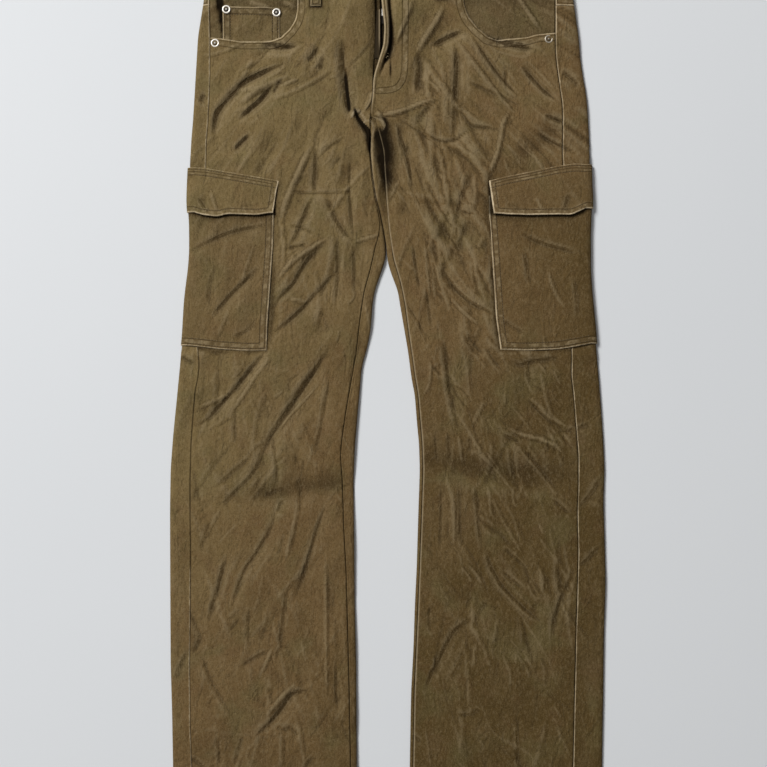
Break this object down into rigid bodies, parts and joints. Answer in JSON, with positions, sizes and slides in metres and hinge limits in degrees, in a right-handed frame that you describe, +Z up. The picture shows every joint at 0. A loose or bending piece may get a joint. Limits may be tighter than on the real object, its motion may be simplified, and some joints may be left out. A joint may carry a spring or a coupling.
{
  "type": "cargo pants",
  "caption": "Cargo trousers laid flat, front up, with shaped hand pockets, a coin pocket and flapped thigh pockets that wrap the side seams.",
  "frame": {"origin": "on the surface it lies on, under the middle of the garment", "axes": "+X towards the wearer's left side, +Y from hems to waist, +Z up out of the front"},
  "size_m": [0.5231, 1.0361, 0.0132],
  "materials": {
    "twill": "garment-washed olive brown cotton twill, creased, pale along seams and pocket edges",
    "zip_tape": "woven tape",
    "zip_metal": "aged brass teeth",
    "silver_metal": "worn bright metal"
  },
  "bodies": {
    "root": {"front_right": "twill", "front_left": "twill", "back_right": "twill", "back_left": "twill", "yoke_right": "twill", "yoke_left": "twill", "waistband": "twill", "belt_loop_1": "twill", "belt_loop_2": "twill", "belt_loop_3": "twill", "belt_loop_4": "twill", "belt_loop_5": "twill", "pocket_facing_right": "twill", "pocket_facing_left": "twill", "coin_pocket": "twill", "cargo_pocket_right": "twill", "cargo_pocket_left": "twill", "cargo_flap_right": "twill", "cargo_flap_left": "twill", "fly_facing": "twill", "fly_shield": "twill", "zip_tape_right": "zip_tape", "zip_tape_left": "zip_tape", "zip_chain": "zip_metal", "zip_slider": "silver_metal", "zip_pull": "silver_metal", "rivet_1": "silver_metal", "rivet_2": "silver_metal", "rivet_3": "silver_metal", "rivet_4": "silver_metal", "waist_button": "silver_metal"}
  },
  "joints": []
}
